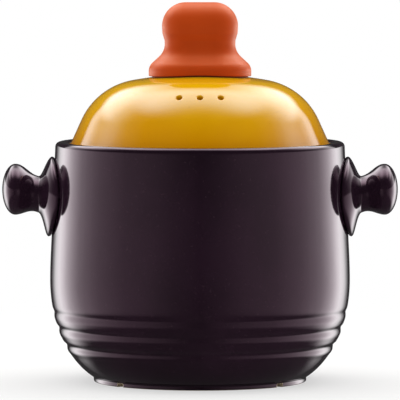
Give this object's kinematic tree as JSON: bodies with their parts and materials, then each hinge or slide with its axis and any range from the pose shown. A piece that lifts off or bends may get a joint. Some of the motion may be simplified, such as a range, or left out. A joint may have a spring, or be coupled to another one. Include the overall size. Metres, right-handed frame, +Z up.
{
  "type": "casserole pot with lid",
  "caption": "Lidded clay cooking pot with turned bands, two lug handles, a domed lid with steam holes and an oblong knob.",
  "frame": {"origin": "on the table under the middle of the pot", "axes": "+Z up, +X along the two handles to the right one, -Y towards the side with the steam holes"},
  "size_m": [0.2706, 0.2002, 0.253],
  "materials": {
    "aubergine_glaze": "glossy dark aubergine glaze on stoneware, with a bare foot ring",
    "amber_glaze": "glossy amber yellow glaze on stoneware",
    "orange_satin": "satin orange heat-resistant moulding",
    "brass": "turned",
    "stainless": "bright drawn and stamped steel",
    "silicone": "matt dark red silicone"
  },
  "bodies": {
    "pot": {"pot_body": "aubergine_glaze", "left_handle": "aubergine_glaze", "right_handle": "aubergine_glaze"},
    "lid": {"lid": "amber_glaze", "lid_knob": "orange_satin", "seat_gasket": "silicone", "knob_insert": "brass", "knob_screw": "stainless", "screw_washer": "stainless", "under_gasket": "silicone"}
  },
  "joints": [
    {"name": "lid_lift", "type": "slide", "parent": "pot", "child": "lid", "axis": [0, 0, 1], "range_m": [0, 0.12]}
  ]
}
